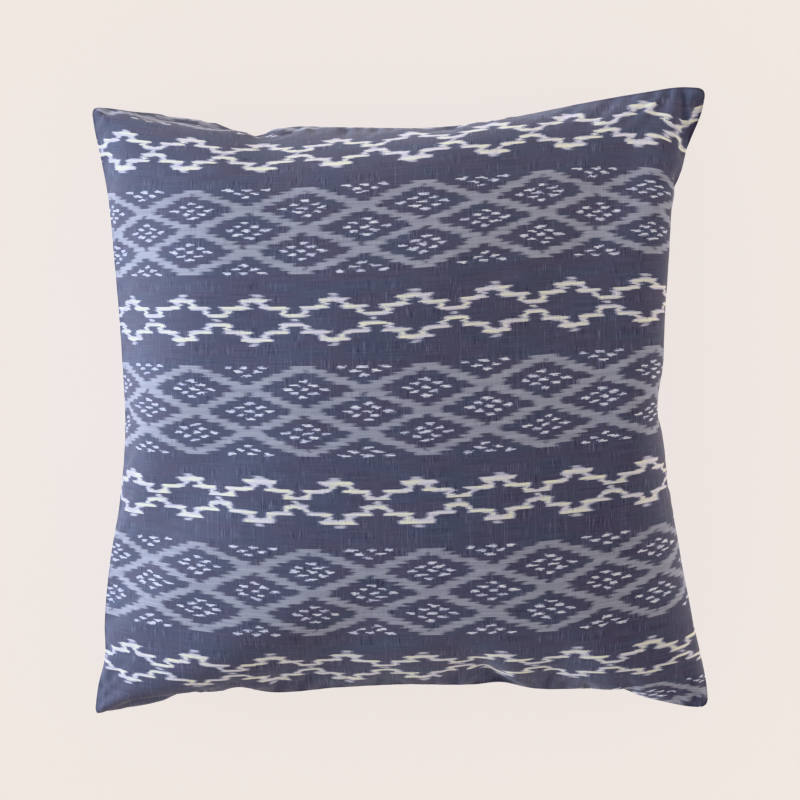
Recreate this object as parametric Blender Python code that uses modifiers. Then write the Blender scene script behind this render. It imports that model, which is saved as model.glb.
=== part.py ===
"""Square filled cushion lying on its back, face up.

Two flat square panels are sewn together along a knife-edge seam and filled. The filling draws the
four sides of the seam in between the ears, lifts the front panel into a crown and presses the back
panel flat where it rests. Metres, +Z up, origin at the bottom centre of the cushion.
"""

import math

import bmesh
import bpy

# Driving sizes, in metres.
SEAM_HEIGHT = 0.072        # the seam floats at this height over the rest plane
FRONT_CROWN = 0.083        # rise of the front panel over the seam
CREST_ACROSS = 0.03        # the filling has slid to the right: place of the crest, -1 left to 1 right
CREST_UP = -0.02           # and a little down: -1 bottom to 1 top
FRONT_POWER = 2.5          # how flat the top of a front section is; the walls are elliptical
BACK_POWER = 1.3           # how soon a back section curls up from the flat it rests on
LYING_HEIGHT = 0.00001     # a point of the back panel under this height lies on the rest plane
WALL_DEPTH = 0.16          # share of the half width in which a side wall bulges past the seam
STATION_PACKING = 0.7      # 0 spaces the stations evenly, 1 packs them towards the seam
CELLS = 22                 # cells across a panel before it is subdivided
FLAT_CELLS = 5             # cells, each way from the middle, that lie flat on the rest plane

# The four ears, as (across, up), in metres.
EARS = {
    "top left": (-0.2470, 0.2345),
    "top right": (0.2455, 0.2505),
    "bottom right": (0.2470, -0.2460),
    "bottom left": (-0.2440, -0.2510),
}

# Each side of the seam runs from one ear to another. "Inward" turns the side's left or right hand
# into the cushion. Its rows are (share of the way along, inset in mm from the straight line between
# the ears): the seam is drawn in most at mid side, and dips where it is gathered. "Bulge" is how far,
# in mm, the filled walls stand past the seam at mid side.
SIDES = {
    "top": {
        "from": "top left", "to": "top right", "inward": -1, "bulge": 3.0,
        "inset": ((0.00, 0.0), (0.05, 1.0), (0.12, 9.5), (0.20, 19.0), (0.26, 27.0), (0.31, 21.0),
                  (0.40, 23.0), (0.55, 25.5), (0.70, 17.0), (0.80, 9.0), (0.90, 1.5), (0.96, -2.0),
                  (1.00, 0.0)),
    },
    "right": {
        "from": "top right", "to": "bottom right", "inward": -1, "bulge": 9.0,
        "inset": ((0.00, 0.0), (0.03, 1.0), (0.07, 9.0), (0.12, 19.5), (0.17, 29.0), (0.25, 36.0),
                  (0.38, 41.0), (0.50, 44.5), (0.60, 41.0), (0.70, 35.0), (0.80, 24.0),
                  (0.87, 13.0), (0.93, 4.0), (1.00, 0.0)),
    },
    "bottom": {
        "from": "bottom left", "to": "bottom right", "inward": 1, "bulge": 4.0,
        "inset": ((0.00, 0.0), (0.04, 6.0), (0.09, 17.0), (0.14, 20.5), (0.20, 20.0), (0.235, 22.5),
                  (0.28, 19.0), (0.40, 22.0), (0.50, 24.0), (0.62, 22.0), (0.665, 26.0),
                  (0.71, 20.0), (0.80, 17.0), (0.86, 16.5), (0.90, 9.0), (0.94, 4.0), (1.00, 0.0)),
    },
    "left": {
        "from": "top left", "to": "bottom left", "inward": 1, "bulge": 5.0,
        "inset": ((0.00, 0.0), (0.04, 3.0), (0.08, 8.5), (0.14, 15.5), (0.25, 21.5), (0.40, 27.5),
                  (0.54, 30.0), (0.65, 24.5), (0.75, 17.0), (0.85, 11.0), (0.905, 9.5),
                  (0.95, 3.0), (1.00, 0.0)),
    },
}

# Soft creases that run in from the seam: side, share of the way along it, width along the seam,
# reach into the panel and depth, in metres.
CREASES = (
    {"side": "top", "along": 0.26, "width": 0.016, "reach": 0.070, "depth": 0.009},
    {"side": "top", "along": 0.57, "width": 0.018, "reach": 0.065, "depth": 0.006},
    {"side": "right", "along": 0.16, "width": 0.018, "reach": 0.090, "depth": 0.008},
    {"side": "bottom", "along": 0.235, "width": 0.020, "reach": 0.060, "depth": 0.006},
    {"side": "bottom", "along": 0.665, "width": 0.018, "reach": 0.070, "depth": 0.008},
    {"side": "bottom", "along": 0.88, "width": 0.016, "reach": 0.060, "depth": 0.006},
    {"side": "left", "along": 0.09, "width": 0.018, "reach": 0.060, "depth": 0.005},
    {"side": "left", "along": 0.90, "width": 0.018, "reach": 0.070, "depth": 0.006},
)

CLOTH = {"name": "cushion cloth", "color": (0.105, 0.120, 0.215, 1.0), "roughness": 0.92}


def clear_scene():
    for old in list(bpy.data.objects):
        bpy.data.objects.remove(old)


def along_rows(rows, t):
    """Smooth curve through the rows (place, value), read at t from 0 to 1."""
    last = len(rows) - 2
    i = 0
    while i < last and rows[i + 1][0] <= t:
        i += 1

    def slope(k):
        before = rows[max(k - 1, 0)]
        after = rows[min(k + 1, len(rows) - 1)]
        return (after[1] - before[1]) / (after[0] - before[0])

    span = rows[i + 1][0] - rows[i][0]
    f = (t - rows[i][0]) / span
    rise = rows[i + 1][1] - rows[i][1]
    start = slope(i) * span
    end = slope(i + 1) * span
    return rows[i][1] + f * start + f * f * (3 * rise - 2 * start - end) + f ** 3 * (start + end - 2 * rise)


def seam_point(name, t):
    """Point of one side of the seam, seen from above."""
    side = SIDES[name]
    ax, ay = EARS[side["from"]]
    bx, by = EARS[side["to"]]
    dx, dy = bx - ax, by - ay
    length = math.hypot(dx, dy)
    inset = along_rows(side["inset"], t) * 0.001 * side["inward"]
    return ax + t * dx - inset * dy / length, ay + t * dy + inset * dx / length


def patch_point(x, y):
    """Point of the flat sheet spanned by the seam; x and y run from -1 to 1."""
    s = (x + 1) / 2
    t = (1 - y) / 2
    top, bottom = seam_point("top", s), seam_point("bottom", s)
    left, right = seam_point("left", t), seam_point("right", t)
    tl, tr = EARS["top left"], EARS["top right"]
    bl, br = EARS["bottom left"], EARS["bottom right"]
    place = []
    for k in range(2):
        rails = (1 - t) * top[k] + t * bottom[k] + (1 - s) * left[k] + s * right[k]
        ears = (1 - s) * (1 - t) * tl[k] + s * (1 - t) * tr[k] + (1 - s) * t * bl[k] + s * t * br[k]
        place.append(rails - ears)
    return place


def front_section(x, crest):
    """Height of a front section at x, 0 at both seams and 1 at the crest."""
    skewed = (x - crest) / (1 - crest * x)
    return math.sqrt(max(0.0, 1 - abs(skewed) ** FRONT_POWER))


def back_section(x):
    """Depth of a back section at x, 0 at both seams and 1 where the panel lies flat."""
    flat = station(2 * FLAT_CELLS / CELLS)
    beyond = (abs(x) - flat) / (1 - flat)
    return math.sqrt(max(0.0, 1 - max(0.0, beyond) ** BACK_POWER))


def wall_bulge(x):
    """How much of a side's bulge shows at x: nothing at the seam, all just inside it."""
    inside = 1 - abs(x)
    if inside >= WALL_DEPTH:
        return 0.0
    return math.sin(math.pi * math.sqrt(inside / WALL_DEPTH)) ** 2


def crease_depth(x, y):
    """Depth of the creases at x and y."""
    s = (x + 1) / 2
    t = (1 - y) / 2
    half = 0.25
    from_side = {"top": (s, 1 - y), "bottom": (s, 1 + y), "left": (t, 1 + x), "right": (t, 1 - x)}
    depth = 0.0
    for crease in CREASES:
        along, inside = from_side[crease["side"]]
        reach = inside * half / crease["reach"]
        if reach < 1:
            aside = (along - crease["along"]) * 2 * half / crease["width"]
            depth += crease["depth"] * math.exp(-aside * aside) * math.sin(math.pi * math.sqrt(reach)) ** 2
    return depth


def panel_point(x, y, front):
    """Point of the front or the back panel; x and y run from -1 to 1."""
    px, py = patch_point(x, y)
    swell_x = SIDES["right" if x > 0 else "left"]["bulge"] * 0.001 * wall_bulge(x) * (1 - y * y)
    swell_y = SIDES["top" if y > 0 else "bottom"]["bulge"] * 0.001 * wall_bulge(y) * (1 - x * x)
    px += math.copysign(swell_x, x)
    py += math.copysign(swell_y, y)
    if front:
        rise = front_section(x, CREST_ACROSS) * front_section(y, CREST_UP)
        return px, py, SEAM_HEIGHT + FRONT_CROWN * rise - crease_depth(x, y)
    drop = back_section(x) * back_section(y)
    return px, py, SEAM_HEIGHT * (1 - drop) + crease_depth(x, y)


def station(x):
    """Moves an even station from -1 to 1 towards the seam, where the walls are steep."""
    return (1 - STATION_PACKING) * x + STATION_PACKING * math.sin(x * math.pi / 2)


def add_panel(bm, front):
    """Adds one panel as a square grid that is then shaped."""
    panel = bm.faces.layers.int.get("panel") or bm.faces.layers.int.new("panel")
    grid = bmesh.ops.create_grid(bm, x_segments=CELLS, y_segments=CELLS, size=1.0)["verts"]
    faces = {face for vert in grid for face in vert.link_faces}
    for face in faces:
        face[panel] = 1 if front else 2
    for vert in grid:
        vert.co = panel_point(station(vert.co.x), station(vert.co.y), front)
    if not front:
        bmesh.ops.reverse_faces(bm, faces=list(faces))


def lies_flat(face):
    return max(vert.co.z for vert in face.verts) < LYING_HEIGHT


def sharpen_edges(bm):
    """Keeps the seam, the ear tips and the outline of the flat it rests on crisp when subdivided."""
    panel = bm.faces.layers.int["panel"]
    edge_crease = bm.edges.layers.float.new("crease_edge")
    vert_crease = bm.verts.layers.float.new("crease_vert")
    for edge in bm.edges:
        on_seam = len({face[panel] for face in edge.link_faces}) == 2
        on_flat_outline = len({lies_flat(face) for face in edge.link_faces}) == 2
        if on_seam or on_flat_outline:
            edge[edge_crease] = 1.0
    for x, y in EARS.values():
        tip = min(bm.verts, key=lambda vert: math.dist(vert.co, (x, y, SEAM_HEIGHT)))
        tip[vert_crease] = 1.0


def cloth_material():
    material = bpy.data.materials.new(CLOTH["name"])
    material.use_nodes = True
    shader = material.node_tree.nodes["Principled BSDF"]
    shader.inputs["Base Color"].default_value = CLOTH["color"]
    shader.inputs["Roughness"].default_value = CLOTH["roughness"]
    shader.inputs["Metallic"].default_value = 0.0
    return material


def make_cushion(collection):
    bm = bmesh.new()
    add_panel(bm, front=True)
    add_panel(bm, front=False)
    bmesh.ops.remove_doubles(bm, verts=bm.verts, dist=0.00005)
    sharpen_edges(bm)
    bm.normal_update()
    mesh = bpy.data.meshes.new("cushion")
    bm.to_mesh(mesh)
    bm.free()
    mesh.shade_smooth()
    mesh.materials.append(cloth_material())
    cushion = bpy.data.objects.new("cushion", mesh)
    collection.objects.link(cushion)
    smooth = cushion.modifiers.new("Soft panels", "SUBSURF")
    smooth.levels = 1
    smooth.render_levels = 1
    return cushion


def main():
    clear_scene()
    collection = bpy.data.collections.new("Decorative cushion")
    bpy.context.scene.collection.children.link(collection)
    make_cushion(collection)


main()
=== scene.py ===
import functools
import math

import bmesh
import bpy
import numpy as np
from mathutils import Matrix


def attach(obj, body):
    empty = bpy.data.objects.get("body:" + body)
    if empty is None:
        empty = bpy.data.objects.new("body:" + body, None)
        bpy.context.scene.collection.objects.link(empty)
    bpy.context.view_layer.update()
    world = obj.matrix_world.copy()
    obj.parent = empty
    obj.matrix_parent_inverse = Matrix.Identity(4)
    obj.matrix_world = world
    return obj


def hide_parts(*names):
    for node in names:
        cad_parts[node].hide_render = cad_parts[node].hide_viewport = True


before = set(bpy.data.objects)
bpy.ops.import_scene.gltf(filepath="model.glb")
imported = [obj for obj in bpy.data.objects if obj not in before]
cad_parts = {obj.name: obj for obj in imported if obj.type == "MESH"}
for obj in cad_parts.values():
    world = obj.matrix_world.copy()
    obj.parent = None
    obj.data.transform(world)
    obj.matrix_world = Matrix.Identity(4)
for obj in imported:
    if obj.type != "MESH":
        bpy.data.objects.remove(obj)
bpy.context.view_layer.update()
print("frame loaded")


def hexColor(text):
    # sRGB hex to the linear colour that Blender's sockets take
    parts = [int(text[i:i + 2], 16) / 255 for i in (1, 3, 5)]
    return [p / 12.92 if p <= 0.04045 else ((p + 0.055) / 1.055) ** 2.4 for p in parts] + [1.0]


def addNode(tree, kind, *inputs, out=0, **settings):
    # One shader node with its settings; the kind may name its operation too, as in "Math ADD".
    # An input is a value or a socket to link from; the inputs may also come as one dictionary.
    kind, _, operation = kind.partition(" ")
    made = tree.nodes.new("ShaderNode" + kind)
    if operation:
        made.operation = operation
    for name, value in settings.items():
        setattr(made, name, value)
    byPlace = inputs[0] if inputs and isinstance(inputs[0], dict) else dict(enumerate(inputs))
    for place, value in byPlace.items():
        if isinstance(value, bpy.types.NodeSocket):
            tree.links.new(value, made.inputs[place])
        else:
            made.inputs[place].default_value = value
    return made.outputs[out] if made.outputs else None


# The cover: two square panels sewn round their edges, blown up by the filling.
cover = {
    "cut": 0.512,            # side of a panel from seam to seam, metres
    "cells": 80,             # cloth cells across a panel in the simulation, doubled afterwards
    "seamHeight": 0.072,     # of the knife edge over the floor
    "crownStart": 0.085,     # rise of the front panel that the simulation starts from
    "backStart": 0.066,      # and drop of the back panel
    "startPower": 0.55,      # below 1 the starting shape is full right up to its walls
    "apart": 0.004,          # the flat panels start this much above and below the seam
    "clothMass": 0.0003,     # of one cloth point, kg
    "pressure": 5.0,
    "frames": 40,            # steps of the cloth
    "drawnBy": 20,           # frame by which the seam has been drawn in
    "tension": 25.0,
    "compression": 20.0,
    "shear": 1.5,
    "bending": 0.2,
    "floorDrop": 0.004,      # the cloth rests this much over its collider
    "calmSteps": 500,        # smoothing steps, over the part of a panel from calmFrom inwards
    "calmFrom": 5.0,         # mm from the seam
    "calmOver": 35.0,        # mm over which the smoothing sets in
}

# ears, as (across, up) in metres
ears = {
    "topLeft": (-0.2485, 0.2365),
    "topRight": (0.2465, 0.2512),
    "bottomRight": (0.2480, -0.2470),
    "bottomLeft": (-0.2458, -0.2536),
}

# Each side of the seam: from ear, to ear, which hand is inward, and rows of
# (share of the way along, inset in mm from the straight line between the ears).
seamSides = {
    "top": ("topLeft", "topRight", -1, (
        (0.00, 0.0), (0.05, 3.5), (0.12, 12.5), (0.20, 20.5), (0.26, 28.0), (0.31, 22.0), (0.40, 22.5),
        (0.55, 25.0), (0.62, 23.2), (0.70, 17.4), (0.80, 9.0), (0.90, 1.8), (0.96, -1.5), (1.00, 0.0))),
    "right": ("topRight", "bottomRight", -1, (
        (0.00, 0.0), (0.04, 4.0), (0.08, 12.2), (0.105, 17.2), (0.145, 22.5), (0.165, 27.5), (0.20, 36.0),
        (0.25, 43.8), (0.38, 45.0), (0.50, 46.0), (0.60, 41.5), (0.70, 33.0), (0.80, 21.0), (0.87, 11.5),
        (0.93, 4.2), (0.97, 0.8), (1.00, 0.0))),
    "bottom": ("bottomLeft", "bottomRight", 1, (
        (0.00, 0.0), (0.04, 7.0), (0.09, 16.5), (0.14, 19.0), (0.20, 18.0), (0.235, 21.3), (0.28, 17.3),
        (0.40, 20.0), (0.50, 21.7), (0.62, 21.0), (0.665, 22.5), (0.71, 17.6), (0.80, 16.3),
        (0.86, 16.0), (0.89, 10.0), (0.93, 4.8), (0.97, 0.8), (1.00, 0.0))),
    "left": ("topLeft", "bottomLeft", 1, (
        (0.00, 0.0), (0.04, 2.8), (0.08, 7.0), (0.14, 12.5), (0.25, 17.8), (0.40, 23.3), (0.54, 25.8),
        (0.65, 21.2), (0.75, 13.0), (0.85, 8.5), (0.905, 8.5), (0.95, 3.2), (1.00, 0.0))),
}

# Soft creases that run in from the seam where it is gathered: side, share of the way along it, how far
# the crease leans along the side over its length, half width, length, depth and how far the cloth is
# pulled in along it, all in mm.
creases = (
    ("top", 0.265, 8, 9, 40, 2.0, 3.0),
    ("top", 0.60, -20, 8, 45, 2.5, 1.0),
    ("right", 0.165, -14, 7, 50, 2.2, 1.0),
    ("right", 0.51, 8, 10, 45, 1.5, 3.0),
    ("bottom", 0.235, -6, 8, 40, 2.0, 1.0),
    ("bottom", 0.655, -24, 14, 60, 2.2, 6.0),
    ("bottom", 0.875, -14, 7, 45, 2.5, 1.0),
    ("left", 0.09, 10, 8, 40, 2.0, 0.0),
    ("left", 0.895, -12, 8, 50, 2.5, 1.0),
)

# Where the back panel swells out past the seam and shows beyond it: side, from, to, how far in mm.
swells = (
    ("top", 0.02, 0.31, 7.0),
    ("bottom", 0.0, 0.15, 8.5),
)

swellReach = 45.0  # mm, how far in from the seam a swell reaches

# The stitches gather the cloth into small ripples along the seam, in mm. Two slower waves, each with its
# strength and length, shift the ripples so that they don't come evenly.
ripple = {"length": 17.0, "height": 0.5, "fade": 7.0, "waves": ((2.2, 23.0), (1.4, 9.7))}
earRound = 7.0  # mm, radius to which the ears are turned


def smoothRows(rows, t):
    # smooth curve through rows of (place, value), read at every t
    x = np.array([row[0] for row in rows])
    y = np.array([row[1] for row in rows])
    slope = np.gradient(y, x)
    i = np.clip(np.searchsorted(x, t, side="right") - 1, 0, len(x) - 2)
    span = x[i + 1] - x[i]
    f = (t - x[i]) / span
    startPart = (2 * f**3 - 3 * f**2 + 1) * y[i] + (f**3 - 2 * f**2 + f) * span * slope[i]
    return startPart + (3 * f**2 - 2 * f**3) * y[i + 1] + (f**3 - f**2) * span * slope[i + 1]


def seamLine(name, t):
    startEar, endEar, inward, rows = seamSides[name]
    a, b = np.array(ears[startEar]), np.array(ears[endEar])
    along = b - a
    aside = np.array([-along[1], along[0]]) / np.linalg.norm(along) * inward
    return a + np.outer(t, along) + np.outer(smoothRows(rows, t) * 0.001, aside)


def drawnSheet(count):
    # flat sheet spanned by the drawn-in seam; first index runs right, second runs down
    t = np.linspace(0, 1, count + 1)
    top, right, bottom, left = (seamLine(name, t) for name in ("top", "right", "bottom", "left"))
    u, w = np.meshgrid(t, t, indexing="ij")
    u, w = u[..., None], w[..., None]
    rails = (1 - w) * top[:, None] + w * bottom[:, None] + (1 - u) * left[None] + u * right[None]
    corners = (1 - u) * (1 - w) * top[0] + u * (1 - w) * top[-1]
    corners += (1 - u) * w * bottom[0] + u * w * bottom[-1]
    return rails - corners


def panelIndex(count):
    # vertex numbers of the front and the back grid, which share the seam
    front = np.arange((count + 1) ** 2).reshape(count + 1, count + 1)
    back = front.copy()
    inner = (count - 1) ** 2
    back[1:-1, 1:-1] = np.arange(front.size, front.size + inner).reshape(count - 1, count - 1)
    return front, back


def panelFaces(front, back):
    faces = []
    for i in range(front.shape[0] - 1):
        for j in range(front.shape[1] - 1):
            around = ((i, j), (i, j + 1), (i + 1, j + 1), (i + 1, j))
            faces.append([int(front[at]) for at in around])
            faces.append([int(back[at]) for at in (around[0], *around[:0:-1])])
    return faces


def filledShape():
    # sews two flat panels at the rim, draws the rim in to the real cover's seam and lets pressure fill them
    count = cover["cells"]
    front, back = panelIndex(count)
    faces = panelFaces(front, back)
    line = np.linspace(-1, 1, count + 1)
    u, w = np.meshgrid(line, -line, indexing="ij")
    crown = (1 - u**2) * (1 - w**2)
    sheet = drawnSheet(count)
    total = int(back.max()) + 1
    flat = np.zeros((total, 3))
    drawn = np.zeros((total, 3))
    for grid, side in ((back, -1), (front, 1)):
        lift = cover["crownStart" if side > 0 else "backStart"] * crown ** cover["startPower"]
        middle = cover["seamHeight"] + side * cover["apart"] * crown
        flat[grid] = np.stack([u * cover["cut"] / 2, w * cover["cut"] / 2, middle], -1)
        drawn[grid] = np.concatenate([sheet, (cover["seamHeight"] + side * lift)[..., None]], -1)

    mesh = bpy.data.meshes.new("clothTrial")
    mesh.from_pydata(flat.tolist(), [], faces)
    cloth = bpy.data.objects.new("clothTrial", mesh)
    collider = bpy.data.objects.new("tableTrial", bpy.data.meshes.new("tableTrial"))
    collider.data.from_pydata([(-1, -1, 0), (1, -1, 0), (1, 1, 0), (-1, 1, 0)], [], [(0, 1, 2, 3)])
    collider.location.z = -cover["floorDrop"]
    for thing in (cloth, collider):
        bpy.context.scene.collection.objects.link(thing)
    cloth.shape_key_add(name="Basis")
    key = cloth.shape_key_add(name="drawn")
    key.data.foreach_set("co", drawn.astype(np.float32).ravel())
    key.value = 0
    key.keyframe_insert("value", frame=1)
    key.value = 1
    key.keyframe_insert("value", frame=cover["drawnBy"])
    seam = cloth.vertex_groups.new(name="seam")
    seam.add(sorted({int(k) for k in (*front[0], *front[-1], *front[:, 0], *front[:, -1])}), 1.0, "REPLACE")

    sim = cloth.modifiers.new("Filling", "CLOTH")
    rules = sim.settings
    rules.quality = 8
    rules.mass = cover["clothMass"]
    rules.tension_stiffness = cover["tension"]
    rules.compression_stiffness = cover["compression"]
    rules.shear_stiffness = cover["shear"]
    rules.bending_stiffness = cover["bending"]
    rules.tension_damping = rules.compression_damping = rules.shear_damping = 5.0
    rules.bending_damping = 0.5
    rules.air_damping = 1.0
    rules.effector_weights.gravity = 0
    rules.use_pressure = True
    rules.uniform_pressure_force = cover["pressure"]
    rules.vertex_group_mass = "seam"
    rules.pin_stiffness = 1.0
    sim.collision_settings.distance_min = 0.002
    sim.collision_settings.use_self_collision = False
    collider.modifiers.new("Collision", "COLLISION")
    collider.collision.thickness_outer = 0.002
    collider.collision.thickness_inner = 0.1
    collider.collision.damping = 0.5
    scene = bpy.context.scene
    scene.frame_start = sim.point_cache.frame_start = 1
    scene.frame_end = sim.point_cache.frame_end = cover["frames"]
    for step in range(1, cover["frames"] + 1):
        scene.frame_set(step)
    settled = cloth.evaluated_get(bpy.context.evaluated_depsgraph_get()).to_mesh()
    shape = np.empty(total * 3, np.float32)
    settled.vertices.foreach_get("co", shape)
    for thing in (cloth, collider):
        bpy.data.objects.remove(thing)
    scene.frame_set(1)
    shape = shape.reshape(-1, 3).astype(float)
    return shape[front], shape[back]


def calmed(points):
    # evens out the cloth's small buckles away from the seam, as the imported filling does
    smooth = points.copy()
    for step in range(cover["calmSteps"]):
        middle = (smooth[:-2, 1:-1] + smooth[2:, 1:-1] + smooth[1:-1, :-2] + smooth[1:-1, 2:]) / 4
        # steps in and out by turns, so that the buckles go but the crown stays
        smooth[1:-1, 1:-1] += (0.5 if step % 2 == 0 else -0.505) * (middle - smooth[1:-1, 1:-1])
    line = np.linspace(0, 1, points.shape[0])
    fromEdge = np.minimum(line, 1 - line) * cover["cut"] * 1000
    share = (np.minimum.outer(fromEdge, fromEdge) - cover["calmFrom"]) / cover["calmOver"]
    share = np.clip(share, 0, 1)[..., None]
    return points + (smooth - points) * share * share * (3 - 2 * share)


def doubled(points):
    # twice as many cells, each new vertex on a smooth curve through its four neighbours
    for axis in (0, 1):
        points = np.moveaxis(points, axis, 0)
        row = np.concatenate([[2 * points[0] - points[1]], points, [2 * points[-1] - points[-2]]])
        finer = np.empty((2 * len(points) - 1, *points.shape[1:]))
        finer[::2] = points
        finer[1::2] = (9 * (row[1:-2] + row[2:-1]) - row[:-3] - row[3:]) / 16
        points = np.moveaxis(finer, 0, axis)
    return points


def handled(points, facing):
    # adds creases, swells, round ears and seam ripples, which are finer than the cells of the simulation
    count = points.shape[0] - 1
    side = cover["cut"] * 1000
    line = np.linspace(0, 1, count + 1)
    s, t = np.meshgrid(line, line, indexing="ij")
    fromSide = {"top": (s, t), "bottom": (s, 1 - t), "left": (t, s), "right": (t, 1 - s)}
    normal = np.cross(np.gradient(points, axis=1), np.gradient(points, axis=0)) * facing
    normal /= np.maximum(np.linalg.norm(normal, axis=2, keepdims=True), 1e-9)
    inwardWay = {"top": (0, -1, 0), "bottom": (0, 1, 0), "left": (1, 0, 0), "right": (-1, 0, 0)}
    shifted = points.copy()
    for name, along, lean, width, reach, deep, pulled in creases:
        place, inward = fromSide[name]
        share = inward * side / reach
        aside = ((place - along) * side - lean * share) / width
        run = np.where(share < 1, np.sin(math.pi * np.sqrt(np.clip(share, 0, 1))) ** 2, 0)
        push = (0.001 * np.exp(-aside**2) * run)[..., None]
        shifted += push * (pulled * np.array(inwardWay[name]) - deep * normal)
    for name, first, last, out in swells if facing < 0 else ():
        place, inward = fromSide[name]
        window = np.sin(math.pi * np.clip((place - first) / (last - first), 0, 1))
        run = np.sin(math.pi * np.sqrt(np.clip(inward * side / swellReach, 0, 1))) ** 2
        shifted[..., 1] += (1 if name == "top" else -1) * 0.001 * out * window * run
    # the corner of each ear, turned to a small round
    corners = ((-1, 1, s, t), (1, 1, 1 - s, t), (-1, -1, s, 1 - t), (1, -1, 1 - s, 1 - t))
    for across, up, a, b in corners:
        a, b = (np.maximum(1 - far * side / earRound, 0) for far in (a, b))
        pull = earRound * 0.001 * (1 - np.maximum(a, b) / np.maximum(np.hypot(a, b), 1e-9))
        shifted[..., 0] -= across * pull * a
        shifted[..., 1] -= up * pull * b
    (slow, slowLength), (fast, fastLength) = ripple["waves"]
    for number, (place, inward) in enumerate(fromSide.values()):
        along = place * side
        phase = 2 * math.pi * along / ripple["length"] + slow * np.sin(along / slowLength + number)
        phase += fast * np.sin(along / fastLength)
        fade = np.exp(-inward * side / ripple["fade"]) * np.sin(math.pi * place)
        shifted[..., 2] += 0.001 * ripple["height"] * fade * np.sin(phase)
    return shifted


# Where the woven pattern lies on a panel, in mm of flat cloth.
lay = {
    "repeat": 140.1,         # from one chain band to the next, down the cloth
    "chain": 61.8,           # from one chain link to the next, across
    "firstChain": 203.3,     # height of the top chain band over the middle of the panel
    "chainShift": 11.1,      # of the middle link, to the right
    "drift": 2.0,            # sideways creep of the warp from one band to the next
    "skew": 0.013,           # the bands rise to the right
    "bow": 9.7,              # and sag in the middle, as weft does in hand weaving
    "bowBelow": 4.8,         # more so at the bottom
    "spread": 0.04,          # the wefts lie a little further apart towards the top of the cover
    "spreadBelow": 0.046,    # and towards its bottom
    "squeeze": 8.5,          # but closer where the bottom wall turns under
    "topShift": 2.5,         # the warp leans to the right at the top
    "topLean": 0.025,        # most of all at its ends
    "bottomShift": 3.0,      # and at the bottom
    "narrow": 4.0,           # the warps lie closer towards the sides
    "topSag": (-150.0, 103.0, 12.5),  # where the wefts sag along the top: middle, reach, how far
    # where the wefts are pulled up: middle across and up, reach across and up, how far
    "lifts": ((90, 115, 95, 70, 6.6), (125, 195, 45, 40, 4.4), (245, 200, 30, 60, -17.0),
              (140, -185, 110, 60, -3.5), (220, -250, 42, 20, 17.0), (-256, -256, 45, 18, -16.0),
              (-62, 252, 50, 15, 14.0)),
    "backShift": (236.0, 150.0),  # of the back panel's cloth against the front's
    "loomHalf": 200.0,       # half the height and width over which the bends of the bands are given
    "bottomHalf": 210.0,
    "spreadHalf": 215.0,
    "turnFrom": 205.0,       # the bottom wall turns under from here
    "turnOver": 35.0,
    "unit": 100.0,           # mm of cloth for one unit of the UV map
}


def patternPlace(u, v, onBack):
    # u and v in mm from the middle of the panel; returns the place on the loom's pattern
    if onBack:
        u, v = u + lay["backShift"][0], v + lay["backShift"][1]
        down = lay["firstChain"] - v
    else:
        fromMiddle = v / lay["spreadHalf"]
        opened = lay["spread"] * fromMiddle**2 if v > 0 else lay["spreadBelow"] * fromMiddle**4
        turned = min(max(-v - lay["turnFrom"], 0) / lay["turnOver"], 1)
        even = v / (1 + opened) - lay["squeeze"] * turned * turned * (3 - 2 * turned)
        above, below = max(v, 0) / lay["loomHalf"], min(v, 0) / lay["bottomHalf"]
        across = u / lay["loomHalf"]
        down = lay["firstChain"] + lay["skew"] * u - even
        down += (lay["bow"] + lay["bowBelow"] * min(below**6, 1.25)) * across**2
        middle, reach, sag = lay["topSag"]
        down -= sag * math.exp(-(((u - middle) / reach) ** 2)) * above**4
        for acrossMiddle, upMiddle, acrossReach, upReach, lift in lay["lifts"]:
            away = ((u - acrossMiddle) / acrossReach) ** 2 + ((v - upMiddle) / upReach) ** 2
            down += lift * math.exp(-away)
        u += lay["narrow"] * across**3 - above**2 * (lay["topShift"] + lay["topLean"] * abs(u))
        u -= lay["bottomShift"] * below**2
    return u - lay["chainShift"] - lay["drift"] * (down / lay["repeat"] - 1.5), -down


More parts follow.
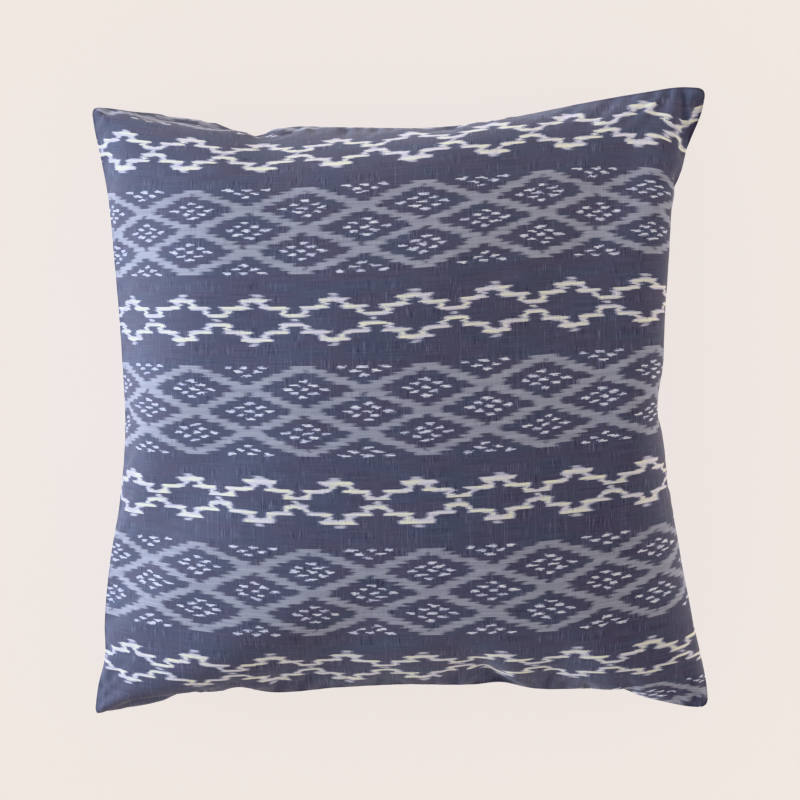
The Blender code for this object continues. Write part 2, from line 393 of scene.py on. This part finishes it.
def makeCushion():
    frontShape, backShape = filledShape()
    print("cover filled, top at", round(float(frontShape[..., 2].max()), 4))
    frontShape, backShape = handled(doubled(calmed(frontShape)), 1), handled(doubled(calmed(backShape)), -1)
    count = frontShape.shape[0] - 1
    front, back = panelIndex(count)
    shape = np.empty((int(back.max()) + 1, 3))
    shape[back] = backShape
    shape[front] = frontShape
    shape[:, 2] = np.maximum(shape[:, 2] - max(0.0, float(shape[:, 2].min())), 0.0)
    mesh = bpy.data.meshes.new("cushionCover")
    mesh.from_pydata(shape.tolist(), [], panelFaces(front, back))
    place = {}
    for grid, onBack in ((front, False), (back, True)):
        for (i, j), number in np.ndenumerate(grid):
            place[(onBack, int(number))] = (i / count, 1 - j / count)
    clothMap = mesh.uv_layers.new(name="cloth")
    bakeMap = mesh.uv_layers.new(name="OFBake")
    side = cover["cut"] * 1000
    margin = 0.004  # the panels lie side by side in the bake's map, this much from its edges
    for face in mesh.polygons:
        onBack = face.index % 2 == 1
        for loop in face.loop_indices:
            u, v = place[(onBack, mesh.loops[loop].vertex_index)]
            x, y = patternPlace((u - 0.5) * side, (v - 0.5) * side, onBack)
            clothMap.data[loop].uv = (x / lay["unit"], y / lay["unit"])
            left = 0.5 + margin if onBack else margin
            bakeMap.data[loop].uv = (left + (0.5 - 2 * margin) * u, margin + (1 - 2 * margin) * v)
    fromSeam = mesh.attributes.new("fromSeam", "FLOAT", "POINT")
    for number in range(len(mesh.vertices)):
        u, v = place.get((False, number)) or place[(True, number)]
        fromSeam.data[number].value = min(u, 1 - u, v, 1 - v) * side
    mesh.shade_smooth()
    bm = bmesh.new()
    bm.from_mesh(mesh)
    for edge in bm.edges:  # the knife edge stays a fold, not a rounded rim
        if len(edge.link_faces) == 2 and edge.calc_face_angle(0) > math.radians(50):
            edge.smooth = False
    bm.to_mesh(mesh)
    bm.free()
    cushion = bpy.data.objects.new("cushionCover", mesh)
    bpy.context.scene.collection.objects.link(cushion)
    return cushion


# Hand-woven cotton, its pattern tied and dyed into the weft before weaving. So a motif is built of
# bars of two or three picks, whose ends feather sideways, and fine warp streaks run down the cloth.
# Cotton is matt, with a faint fuzz of loose fibres that shows as sheen where the cloth turns away.
# A grain is the length of a noise across and down the cloth, in mm, and a swing is how far it moves
# things in all, in mm.
ikatCotton = {
    "ground": "#5d5d72",
    "groundCool": "#5a5f74",
    "groundGrain": (55.0, 14.0),
    "latticeBlue": "#a8acbe",
    "dashFringe": "#b4badb",  # where little dye has crept under the ties
    "dashWhite": "#e6e9f2",
    "chainFringe": "#b4b6d0",
    "chainCool": "#dfdde6",
    "chainWhite": "#e9ead8",  # the undyed yarn is creamy in places
    "chainGrain": (22.0, 5.0),
    "pick": 0.95,             # mm between two wefts, two real picks drawn as one so that it shows
    "feather": 2.4,           # mm over which the dye creeps into the end of a bar
    "pickSwing": 2.8,         # by which one pick is out of line with the next
    "bundleGrain": (34.0, 5.0),
    "bundleSwing": 10.0,      # by which one tied bundle is out of line with the next
    "creepGrain": (1.8, 0.13),
    "creepSwing": 5.0,        # the dye creeps unevenly along each thread
    "bendGrain": (4.5, 3.0),
    "bendSwing": 3.0,         # the dashes bend up and down a little
    "warpPitch": 0.8,         # mm between two warp ends, two real ends drawn as one
    "roughness": 0.88,
    "sheen": 0.15,
    "weaveHeight": 0.00012,
}

# Uneven yarn: where a noise passes from the first level to the second, a warp end is paler or darker by
# the share given last. The length is along the warp, in mm.
warpEnds = {
    "length": 12.0,
    "pale": (0.58, 0.70, 0.5),
    "dark": (0.42, 0.31, 0.3),
    "longLength": 120.0,
    "longPale": (0.70, 0.80, 0.4),
    "patchGrain": (12.0, 12.0),  # streaky patches of cloth
}

# Chain band, as rows from its middle outwards, in mm: to (where the row ends, from the band's middle),
# middle and half length of the bar (along a link, from the link's widest place) and strength of the
# white. The picks at the edge of a bar are shorter and paler than those at its core.
chainRows = (
    {"to": 1.0, "middle": 30.4, "half": 2.4, "strength": 0.70},
    {"to": 1.8, "middle": 31.0, "half": 0.0, "strength": 0.00},
    {"to": 2.7, "middle": 31.0, "half": 8.4, "strength": 0.60},
    {"to": 4.4, "middle": 31.0, "half": 10.6, "strength": 1.00},
    {"to": 5.1, "middle": 24.5, "half": 4.4, "strength": 0.90},
    {"to": 7.4, "middle": 21.8, "half": 2.9, "strength": 0.95},
    {"to": 8.2, "middle": 17.0, "half": 8.6, "strength": 0.60},
    {"to": 10.2, "middle": 15.2, "half": 11.2, "strength": 1.00},
    {"to": 10.9, "middle": 9.8, "half": 4.6, "strength": 0.75},
    {"to": 13.2, "middle": 7.2, "half": 3.0, "strength": 0.95},
    {"to": 14.0, "middle": 5.4, "half": 5.6, "strength": 0.75},
    {"to": 16.2, "middle": 0.0, "half": 12.8, "strength": 1.00},
    {"to": 17.1, "middle": 0.0, "half": 6.0, "strength": 0.70},
    {"to": 17.8, "middle": 0.0, "half": 3.0, "strength": 0.30},
    {"to": 19.6, "middle": 0.0, "half": 4.2, "strength": 0.55},
)
chartScale = 32.0  # mm, a colour ramp holds the rows and its values run from 0 to 1

# Lattice band, in mm, with five rows of 1, 2, 3, 2 and 1 dashes inside each diamond.
latticeBand = {
    "half": 46.4,            # half the width of a diamond
    "rise": 16.9,            # half the height of a diamond
    "shift": 7.6,            # of the diamonds from the chain links
    "middleShift": 1.4,      # the middle crossings sit a little to the right
    "row": 2.9,              # height of a row of bars
    "bar": 8.0,              # half the length of a bar
    "reach": 34.8,           # from the middle of the band to its edge
    "strength": 0.95,
    "dashApart": 15.4,
    "dashRow": 3.05,
    "dashHalf": 4.4,
    "dashThick": 1.0,        # half the thickness of a dash
    "dashReach": 35.4,
    "dashCreep": 0.9,        # share of the dye's creep that a dash takes
    "dashGrain": (9.0, 3.0),
}


def ikatMaterial():
    look, ends, band = ikatCotton, warpEnds, latticeBand
    material = bpy.data.materials.new("indigoWeftIkatCotton")
    material.use_nodes = True
    tree = material.node_tree
    tree.nodes.clear()
    add = functools.partial(addNode, tree)

    # place on the cloth in mm: x along the weft, y along the warp
    mm = add("VectorMath SCALE", {0: add("UVMap", uv_map="cloth"), 3: lay["unit"]})
    split = add("SeparateXYZ", mm).node.outputs
    x, y = split["X"], split["Y"]

    def cloudy(grain, down, detail=0.0):
        # noise of the given grain, from 0 to 1 and mostly near a half
        at = add("CombineXYZ", add("Math DIVIDE", x, grain[0]), add("Math DIVIDE", down, grain[1]))
        return add("TexNoise", {"Vector": at, "Scale": 1.0, "Detail": detail, "Roughness": 0.6})

    def swung(noise, swing, start=0.0):
        # start, moved by up to half the swing each way
        return add("Math MULTIPLY_ADD", add("Math SUBTRACT", noise, 0.5), swing, start)

    # picks: each weft is one level of y, and slips sideways by its own amount
    pickY = add("Math SNAP", y, look["pick"])
    pickLuck = add("TexWhiteNoise", {"W": pickY}, noise_dimensions="1D")
    luck = add("SeparateColor", pickLuck.node.outputs["Color"]).node.outputs
    bundled = swung(cloudy(look["bundleGrain"], y), look["bundleSwing"], x)
    slipped = swung(pickLuck, look["pickSwing"], bundled)
    creep = swung(cloudy(look["creepGrain"], pickY, 1.0), look["creepSwing"])
    bend = swung(cloudy(look["bendGrain"], y, 1.0), look["bendSwing"])

    # chain band: a colour ramp holds, for each row of bars, its middle, half length and strength
    half = lay["repeat"] / 2
    bandY = add("Math ABSOLUTE", add("Math WRAP", pickY, half, -half))
    reach = chainRows[-1]["to"] + 2
    chart = add("ValToRGB", add("Math DIVIDE", bandY, reach)).node
    ramp = chart.color_ramp
    ramp.interpolation = "CONSTANT"
    start = 0.0
    for number, row in enumerate(chainRows):
        stop = ramp.elements[0] if number == 0 else ramp.elements.new(start / reach)
        stop.color = (row["middle"] / chartScale, row["half"] / chartScale, row["strength"], 1.0)
        start = row["to"]
    ramp.elements[-1].position = start / reach
    ramp.elements[-1].color = (0, 0, 0, 1)
    rowChart = add("SeparateColor", chart.outputs["Color"]).node.outputs
    link = add("Math PINGPONG", slipped, lay["chain"] / 2)
    away = add("Math ABSOLUTE", add("Math MULTIPLY_ADD", rowChart["Red"], -chartScale, link))
    away = add("Math ADD", add("Math MULTIPLY_ADD", rowChart["Green"], -chartScale, away), creep)
    chain = add("MapRange", away, look["feather"] / 2, -look["feather"], 0.0, 1.0)
    chain = add("Math MULTIPLY", chain, rowChart["Blue"])
    chain = add("Math MULTIPLY", chain, add("MapRange", luck["Green"], 0.0, 1.0, 0.8, 1.1))

    # lattice band: diagonal strips, stepped by rows of bars
    latticeY = add("Math WRAP", add("Math ADD", pickY, half), half, -half)
    rowY = add("Math ADD", add("Math SNAP", latticeY, band["row"]), band["row"] / 2)
    inBand = add("Math LESS_THAN", add("Math ABSOLUTE", latticeY), band["reach"])
    crossing = add("MapRange", add("Math ABSOLUTE", latticeY), 0.0, band["rise"],
                   band["middleShift"] + band["shift"], band["shift"])
    across = add("Math DIVIDE", add("Math SUBTRACT", slipped, crossing), band["half"])
    risen = add("Math DIVIDE", rowY, band["rise"])
    nearest = add("Math MINIMUM", add("Math PINGPONG", add("Math ADD", across, risen), 1.0),
                  add("Math PINGPONG", add("Math SUBTRACT", across, risen), 1.0))
    away = add("Math MULTIPLY_ADD", nearest, band["half"], creep)
    outer, inner = band["bar"] + look["feather"], band["bar"] - 0.8 * look["feather"]
    lattice = add("MapRange", away, outer, inner, 0.0, 1.0)
    lattice = add("Math MULTIPLY", lattice, inBand)
    paleness = add("MapRange", luck["Blue"], 0.0, 1.0, 0.72 * band["strength"], band["strength"])
    lattice = add("Math MULTIPLY", lattice, paleness)

    # dashes: dashX and dashY run from the middle of a diamond, and each dash is a pointed stroke
    dashBandY = add("Math WRAP", add("Math ADD", add("Math ADD", pickY, bend), half), half, -half)
    level = add("Math DIVIDE", dashBandY, band["rise"])
    cellA = add("Math WRAP", add("Math ADD", across, level), 2.0, 0.0)
    cellB = add("Math WRAP", add("Math SUBTRACT", across, level), 2.0, 0.0)
    both = add("Math SUBTRACT", add("Math ADD", cellA, cellB), 2.0)
    dashX = add("Math MULTIPLY", both, band["half"] / 2)
    dashY = add("Math MULTIPLY", add("Math SUBTRACT", cellA, cellB), band["rise"] / 2)
    dashRow = add("Math ROUND", add("Math DIVIDE", dashY, band["dashRow"]))
    rowAway = add("Math ABSOLUTE", dashRow)
    offRow = add("Math ABSOLUTE", add("Math MULTIPLY_ADD", dashRow, -band["dashRow"], dashY))
    offDash = add("Math MULTIPLY_ADD", rowAway, band["dashApart"] / 2, dashX)
    offDash = add("Math PINGPONG", offDash, band["dashApart"] / 2)
    offDash = add("Math MULTIPLY_ADD", creep, band["dashCreep"], offDash)
    offDash = add("Math DIVIDE", offDash, band["dashHalf"])
    inDash = add("Math MULTIPLY_ADD", offDash, offDash, add("Math DIVIDE", offRow, band["dashThick"]))
    rowEnd = add("Math MULTIPLY_ADD", rowAway, -band["dashApart"] / 2, 1.5 * band["dashApart"])
    dashes = add("MapRange", inDash, 1.25, 0.5, 0.0, 1.0)
    dashes = add("Math MULTIPLY", dashes, add("Math LESS_THAN", add("Math ABSOLUTE", dashX), rowEnd))
    inReach = add("Math LESS_THAN", add("Math ABSOLUTE", dashBandY), band["dashReach"])
    dashes = add("Math MULTIPLY", dashes, inReach)
    paleness = add("MapRange", cloudy(band["dashGrain"], y), 0.3, 0.6, 0.65, 1.0)
    dashes = add("Math MULTIPLY", dashes, paleness)

    # uneven yarn: pale and dark ends down the warp, a little nep, and one pick paler than the next
    def streaky(noise, levels):
        return add("MapRange", noise, levels[0], levels[1], 0.0, levels[2])

    streak = cloudy((look["warpPitch"], ends["length"]), y, 1.5)
    patch = add("MapRange", cloudy(ends["patchGrain"], y), 0.38, 0.65, 0.15, 1.5)
    longStreak = cloudy((look["warpPitch"], ends["longLength"]), y)
    pale = add("Math MULTIPLY", streaky(streak, ends["pale"]), patch)
    pale = add("Math ADD", pale, streaky(longStreak, ends["longPale"]))
    dark = add("Math MULTIPLY", streaky(streak, ends["dark"]), patch)
    nep = add("MapRange", cloudy((look["warpPitch"], 0.8), y), 0.25, 0.75, 0.88, 1.12)
    pickShade = add("MapRange", cloudy((30.0, look["pick"]), pickY), 0.3, 0.7, 0.92, 1.1)
    shade = add("Math ADD", add("Math MULTIPLY", nep, pickShade), pale)
    shade = add("Math SUBTRACT", shade, dark)

    def mixed(share, below, above):
        return add("Mix", {0: share, 6: below, 7: above}, out=2, data_type="RGBA")

    def spotted(grain, detail, low, high, colors):
        # two dyed colours, each in its own patches
        share = add("MapRange", cloudy(grain, y, detail), low, high, 0.0, 1.0)
        return mixed(share, *(hexColor(look[name]) for name in colors))

    color = spotted(look["groundGrain"], 1.0, 0.4, 0.62, ("ground", "groundCool"))
    color = add("VectorMath SCALE", {0: color, 3: shade})
    threads = add("MapRange", shade, 0.6, 1.2, 0.8, 1.03)
    undyed = spotted(look["chainGrain"], 0.0, 0.4, 0.6, ("chainCool", "chainWhite"))
    fringe, core = (0.0, 0.55, 0.0, 1.0), (0.4, 1.0, 0.0, 1.0)
    for share, dye in (
        (lattice, hexColor(look["latticeBlue"])[:3]),
        (add("MapRange", dashes, *fringe), hexColor(look["dashFringe"])[:3]),
        (add("MapRange", dashes, *core), hexColor(look["dashWhite"])[:3]),
        (add("MapRange", chain, *fringe), hexColor(look["chainFringe"])[:3]),
        (add("MapRange", chain, *core), undyed),
    ):
        color = mixed(share, color, add("VectorMath SCALE", {0: dye, 3: threads}))

    # a painted shadow of the fold makes a dark line beside the seam, and the fold itself is paler, partly
    # rubbed wear and partly a painted highlight
    toSeam = add("Attribute", attribute_name="fromSeam", out=2)
    paintedFoldShadow = add("MapRange", toSeam, 0.8, 3.0, 0.72, 1.0)
    # the paler strip on the fold is partly rubbed wear and partly a painted highlight
    rubbedWearAndHighlight = add("MapRange", toSeam, 1.0, 0.0, 0.0, 0.15)
    color = add("VectorMath SCALE", {0: color, 3: add("Math ADD", paintedFoldShadow, rubbedWearAndHighlight)})

    # plain weave: threads stand up where they pass over
    over = add("Math SINE", add("Math MULTIPLY", x, math.pi / look["warpPitch"]))
    under = add("Math SINE", add("Math MULTIPLY", y, math.pi / look["pick"]))
    relief = add("Math MULTIPLY_ADD", streak, 1.5, add("Math MULTIPLY", over, under))
    bump = add("Bump", {"Strength": 0.5, "Distance": look["weaveHeight"], "Height": relief})

    surface = add("BsdfPrincipled", {"Base Color": color, "Roughness": look["roughness"], "Normal": bump,
                                     "Sheen Weight": look["sheen"], "Sheen Roughness": 0.5,
                                     "Specular IOR Level": 0.25})
    add("OutputMaterial", surface)
    return material


cushion = makeCushion()
cushion.data.materials.append(ikatMaterial())
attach(cushion, "root")
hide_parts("cushion")
print("cushion made,", len(cushion.data.polygons), "faces")


# The studio: pale paper, a soft window low on the left, weak fills from the other sides and an even sky.
# The paper has a lamp of its own, so that the window throws no shadow on it.
studio = {
    "paper": "#f1eae6",
    "floorHalf": 4.0,
    "cameraHeight": 1.5,      # over the seam
    "perMillimetre": 1.2427,  # image pixels for each mm at the seam
    "imageWidth": 800,
    "aim": (0.0, 0.0003),     # the place under the camera, metres
    "sky": "#fffaf4",
    "skyStrength": 0.51,
    # from where, as azimuth and elevation in degrees, softness, strength, colour and what the lamp lights
    "lamps": {
        "windowLight": (172, 10, 18, 4.9, "#e3efff", "cushion"),
        "fillLight": (0, 13, 40, 1.05, "#ffe9d8", "cushion"),
        "topLight": (80, 12, 30, 1.0, "#fff4ea", "cushion"),
        "bottomLight": (265, 12, 30, 0.35, "#fff4ea", "cushion"),
        "paperLight": (90, 90, 30, 2.1, "#ffffff", "paper"),
    },
}


def paperMaterial():
    # seamless studio paper: matt, even, no gloss to catch the lamps
    material = bpy.data.materials.new("palePaperBackdrop")
    material.use_nodes = True
    shader = material.node_tree.nodes["Principled BSDF"]
    shader.inputs["Base Color"].default_value = hexColor(studio["paper"])
    shader.inputs["Roughness"].default_value = 0.95
    shader.inputs["Specular IOR Level"].default_value = 0.0
    return material


def makeStudio():
    scene = bpy.context.scene
    scene.view_settings.view_transform = "Khronos PBR Neutral"
    floor = bpy.data.objects.new("floor", bpy.data.meshes.new("floor"))
    far = studio["floorHalf"]
    corners = ((-far, -far, 0), (far, -far, 0), (far, far, 0), (-far, far, 0))
    floor.data.from_pydata(corners, [], [(0, 1, 2, 3)])
    floor.data.materials.append(paperMaterial())
    scene.collection.objects.link(floor)

    world = bpy.data.worlds.new("sky")
    world.use_nodes = True
    background = world.node_tree.nodes["Background"]
    background.inputs["Color"].default_value = hexColor(studio["sky"])
    background.inputs["Strength"].default_value = studio["skyStrength"]
    scene.world = world

    lit = {name: bpy.data.collections.new("lit" + name.capitalize()) for name in ("cushion", "paper")}
    lit["cushion"].objects.link(cushion)
    lit["paper"].objects.link(floor)
    for name, (azimuth, elevation, softness, strength, color, target) in studio["lamps"].items():
        lamp = bpy.data.objects.new(name, bpy.data.lights.new(name, "SUN"))
        lamp.data.angle = math.radians(softness)
        lamp.data.energy = strength
        lamp.data.color = hexColor(color)[:3]
        lamp.rotation_euler = (0, math.radians(90 - elevation), math.radians(azimuth))
        lamp.light_linking.receiver_collection = lit[target]
        lamp.light_linking.blocker_collection = lit[target]
        scene.collection.objects.link(lamp)

    camera = bpy.data.objects.new("camera", bpy.data.cameras.new("camera"))
    camera.location = (*studio["aim"], cover["seamHeight"] + studio["cameraHeight"])
    camera.data.sensor_width = 36.0
    framed = studio["imageWidth"] / studio["perMillimetre"] / 1000  # metres across the picture at the seam
    camera.data.lens = camera.data.sensor_width * studio["cameraHeight"] / framed
    scene.collection.objects.link(camera)
    scene.camera = camera


makeStudio()
print("studio made")
